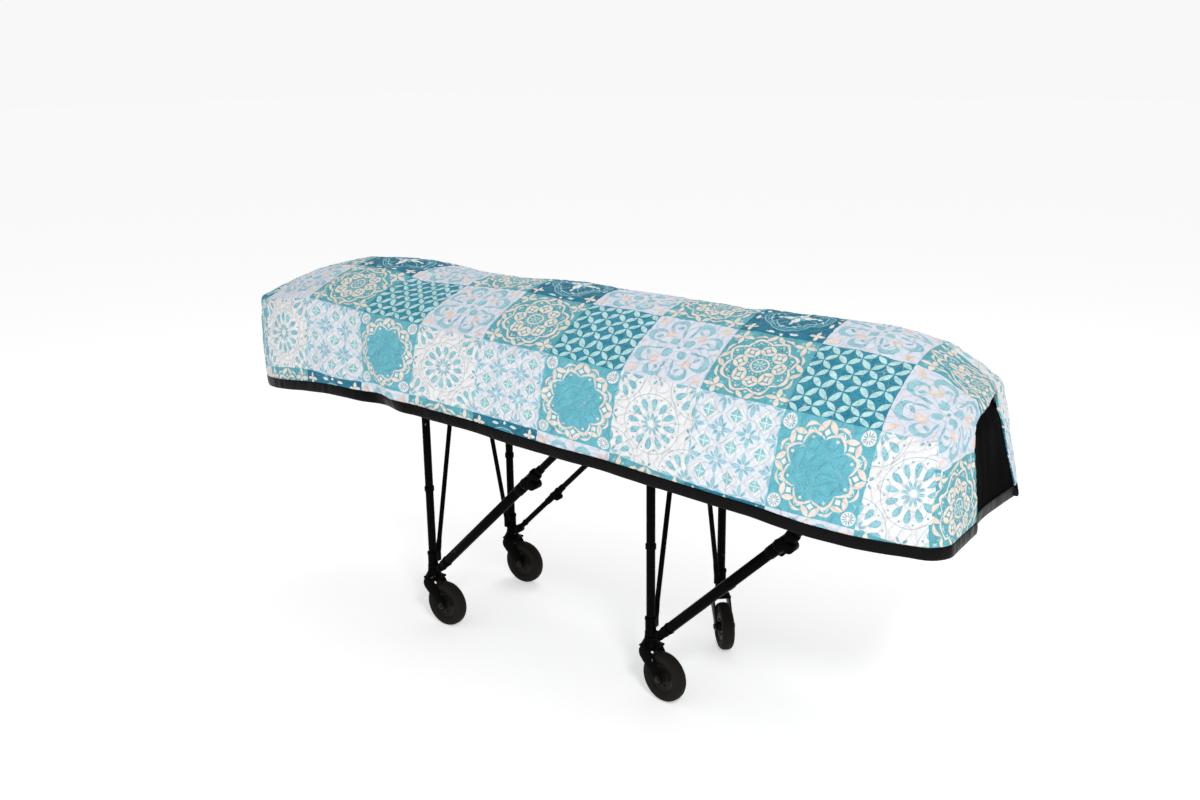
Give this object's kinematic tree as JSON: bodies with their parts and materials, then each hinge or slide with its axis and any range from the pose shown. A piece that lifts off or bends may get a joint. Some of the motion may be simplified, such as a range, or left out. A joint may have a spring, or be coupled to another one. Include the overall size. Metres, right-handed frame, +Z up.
{
  "type": "quilted cot cover on a wheeled folding cot",
  "caption": "Fitted quilted patchwork-print cover with black vinyl end gusset and hem binding, hanging over a plain wheeled folding cot with a crowned mattress.",
  "frame": {"origin": "on the floor, below the middle of the part's overall box", "axes": "+X along the length towards the end with the vinyl gusset, -Y towards the side seen in the picture, +Z up"},
  "size_m": [2.1411, 0.6721, 0.9852],
  "materials": {
    "printed_quilted_cotton": "stipple-quilted cotton printed with squares of traditional tile ornament in teal, white and cream",
    "black_vinyl": "soft black vinyl with a fine leather grain and a low sheen",
    "black_vinyl_binding": "folded black vinyl binding, puckered along its stitching",
    "ticking": "plain pale woven mattress ticking",
    "gloss_black_paint": "brushed-on gloss black paint, lightly chipped",
    "axle_steel": "darkened plated steel bolt",
    "worn_rubber": "worn brown-black rubber",
    "hub_paint": "dusty black painted wheel hub"
  },
  "bodies": {
    "cot": {"quilted_cover": "printed_quilted_cotton", "end_gusset": "black_vinyl", "hem_binding": "black_vinyl_binding", "mattress": "ticking", "deck": "gloss_black_paint", "side_rail_near": "gloss_black_paint", "side_rail_far": "gloss_black_paint", "end_rail_head": "gloss_black_paint", "end_rail_foot": "gloss_black_paint", "head_leg_cross_tube": "gloss_black_paint", "head_brace_cross_tube": "gloss_black_paint", "foot_leg_cross_tube": "gloss_black_paint", "foot_brace_cross_tube": "gloss_black_paint", "leg_head_near": "gloss_black_paint", "v_brace_head_near": "gloss_black_paint", "sleeve_head_near": "gloss_black_paint", "brace_lower_head_near": "gloss_black_paint", "brace_upper_head_near": "gloss_black_paint", "brace_lock_head_near": "gloss_black_paint", "leg_head_far": "gloss_black_paint", "v_brace_head_far": "gloss_black_paint", "sleeve_head_far": "gloss_black_paint", "brace_lower_head_far": "gloss_black_paint", "brace_upper_head_far": "gloss_black_paint", "brace_lock_head_far": "gloss_black_paint", "leg_foot_near": "gloss_black_paint", "v_brace_foot_near": "gloss_black_paint", "sleeve_foot_near": "gloss_black_paint", "brace_lower_foot_near": "gloss_black_paint", "brace_upper_foot_near": "gloss_black_paint", "brace_lock_foot_near": "gloss_black_paint", "leg_foot_far": "gloss_black_paint", "v_brace_foot_far": "gloss_black_paint", "sleeve_foot_far": "gloss_black_paint", "brace_lower_foot_far": "gloss_black_paint", "brace_upper_foot_far": "gloss_black_paint", "brace_lock_foot_far": "gloss_black_paint"},
    "caster_head_near": {"fork_head_near": "gloss_black_paint", "axle_head_near": "axle_steel"},
    "wheel_head_near": {"tyre_head_near": "worn_rubber", "hub_head_near": "hub_paint"},
    "caster_head_far": {"fork_head_far": "gloss_black_paint", "axle_head_far": "axle_steel"},
    "wheel_head_far": {"tyre_head_far": "worn_rubber", "hub_head_far": "hub_paint"},
    "caster_foot_near": {"fork_foot_near": "gloss_black_paint", "axle_foot_near": "axle_steel"},
    "wheel_foot_near": {"tyre_foot_near": "worn_rubber", "hub_foot_near": "hub_paint"},
    "caster_foot_far": {"fork_foot_far": "gloss_black_paint", "axle_foot_far": "axle_steel"},
    "wheel_foot_far": {"tyre_foot_far": "worn_rubber", "hub_foot_far": "hub_paint"}
  },
  "joints": [
    {"name": "swivel_head_near", "type": "hinge", "parent": "cot", "child": "caster_head_near", "pos_m": [-0.403, -0.173, 0.158], "axis": [0, 0, 1], "continuous": true},
    {"name": "spin_head_near", "type": "hinge", "parent": "caster_head_near", "child": "wheel_head_near", "pos_m": [-0.356, -0.173, 0.0631], "axis": [0, 1, 0], "continuous": true},
    {"name": "swivel_head_far", "type": "hinge", "parent": "cot", "child": "caster_head_far", "pos_m": [-0.403, 0.173, 0.158], "axis": [0, 0, 1], "continuous": true},
    {"name": "spin_head_far", "type": "hinge", "parent": "caster_head_far", "child": "wheel_head_far", "pos_m": [-0.356, 0.173, 0.0631], "axis": [0, 1, 0], "continuous": true},
    {"name": "swivel_foot_near", "type": "hinge", "parent": "cot", "child": "caster_foot_near", "pos_m": [0.324, -0.173, 0.158], "axis": [0, 0, 1], "continuous": true},
    {"name": "spin_foot_near", "type": "hinge", "parent": "caster_foot_near", "child": "wheel_foot_near", "pos_m": [0.37029, -0.18116, 0.0631], "axis": [0.1736, 0.9848, 0], "continuous": true},
    {"name": "swivel_foot_far", "type": "hinge", "parent": "cot", "child": "caster_foot_far", "pos_m": [0.324, 0.173, 0.158], "axis": [0, 0, 1], "continuous": true},
    {"name": "spin_foot_far", "type": "hinge", "parent": "caster_foot_far", "child": "wheel_foot_far", "pos_m": [0.35605, 0.13863, 0.0631], "axis": [0.7314, 0.682, 0], "continuous": true}
  ]
}
